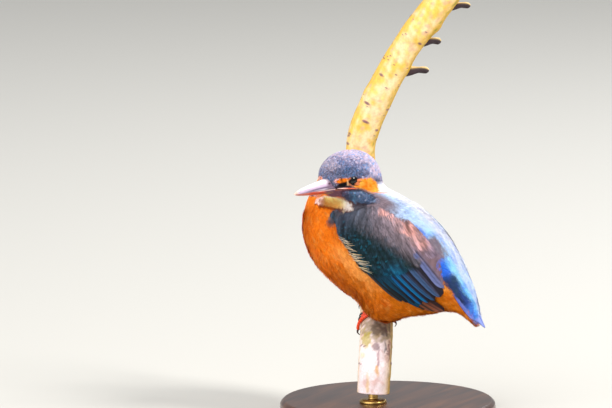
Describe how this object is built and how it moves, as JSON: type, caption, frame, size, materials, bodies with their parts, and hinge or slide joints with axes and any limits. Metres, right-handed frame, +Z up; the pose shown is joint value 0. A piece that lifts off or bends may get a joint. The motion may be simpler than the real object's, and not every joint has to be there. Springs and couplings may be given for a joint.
{
  "type": "common kingfisher",
  "caption": "Life-size common kingfisher, still model, gripping a cut length of branch held above a round display base, with its head turned to its left.",
  "frame": {"origin": "centre of the underside of the round stand base, on the floor", "axes": "+Z up; the bird's body heads towards -Y and its left side is +X; the bill points to +X because the head is turned to its left"},
  "size_m": [0.1163, 0.1105, 0.2227],
  "materials": {
    "head_plumage": "fine short feathers, dark blue-green with pale blue bars, satin sheen",
    "body_plumage": "soft orange feathers below, bright blue feathers along the back",
    "flight_feathers": "smooth dark teal vanes with blue edges, satin",
    "bill_horn": "horn, dark grey with a pale ridge, semi-gloss",
    "lower_bill_horn": "horn, orange-red, semi-gloss",
    "eye_glass": "polished, near black brown",
    "foot_skin": "scaled skin, orange-red, satin",
    "claw_horn": "horn, black-brown",
    "bark": "smooth young bark, yellow with pale pink patches, matt",
    "stand_wood": "turned dark hardwood, satin lacquer",
    "stand_brass": "brushed"
  },
  "bodies": {
    "root": {"head": "head_plumage", "neck": "body_plumage", "trunk": "body_plumage", "tail": "flight_feathers", "bill_upper": "bill_horn", "bill_lower": "lower_bill_horn", "eye_left": "eye_glass", "eye_right": "eye_glass", "wing_left": "flight_feathers", "wing_right": "flight_feathers", "leg_left": "foot_skin", "leg_right": "foot_skin", "foot_left": "foot_skin", "foot_right": "foot_skin", "claw_left_inner": "claw_horn", "claw_left_middle": "claw_horn", "claw_left_outer": "claw_horn", "claw_left_hind": "claw_horn", "claw_right_inner": "claw_horn", "claw_right_middle": "claw_horn", "claw_right_outer": "claw_horn", "claw_right_hind": "claw_horn", "perch_branch": "bark", "stand_base": "stand_wood", "stand_rod": "stand_brass"}
  },
  "joints": []
}
